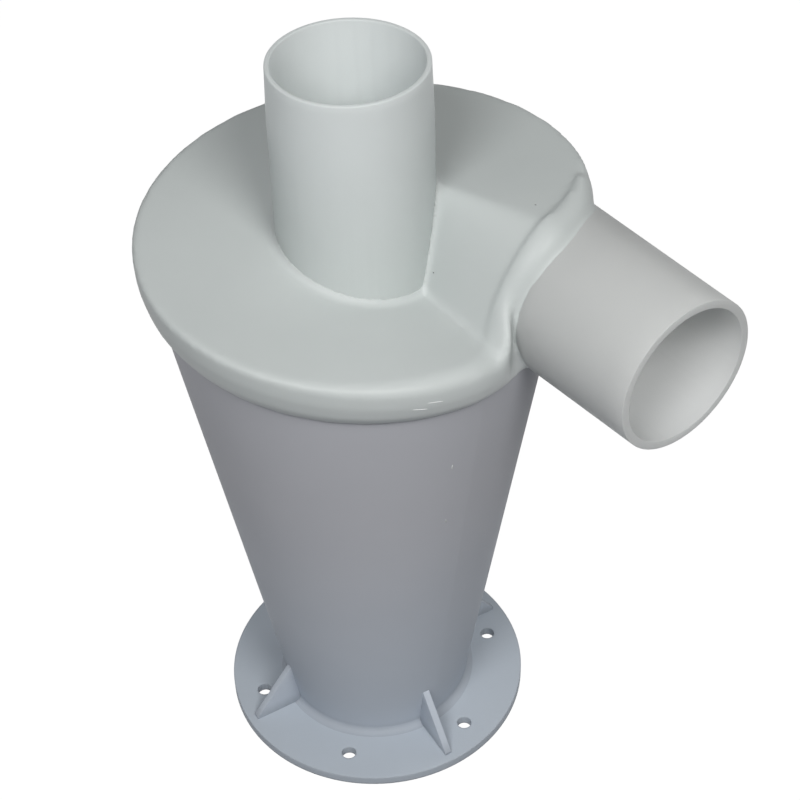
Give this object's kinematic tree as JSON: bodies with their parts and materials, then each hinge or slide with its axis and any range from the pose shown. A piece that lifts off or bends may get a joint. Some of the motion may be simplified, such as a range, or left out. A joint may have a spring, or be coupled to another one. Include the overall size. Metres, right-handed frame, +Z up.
{
  "type": "cyclone dust separator",
  "caption": "Moulded plastic cyclone dust separator: flanged cone with gussets, spiral ramp lid with rounded rim, tangential inlet tube and central outlet tube.",
  "frame": {"origin": "centre of the base flange's underside, on the cyclone axis", "axes": "+Z up the cyclone axis to the outlet mouth, +X out of the inlet mouth, +Y towards the side the inlet tube lies on"},
  "size_m": [0.1764, 0.1408, 0.27],
  "materials": {
    "body": "satin translucent polypropylene",
    "lid": "satin translucent polypropylene",
    "tube": "satin translucent polypropylene"
  },
  "bodies": {
    "root": {"base_flange": "body", "gusset_1": "body", "gusset_2": "body", "gusset_3": "body", "gusset_4": "body", "cone_wall": "body", "spiral_roof": "lid", "inlet_hood": "lid", "rim_band": "lid", "inlet_lip": "lid", "inlet_pipe": "tube", "outlet_pipe": "tube", "vortex_finder": "tube"}
  },
  "joints": []
}
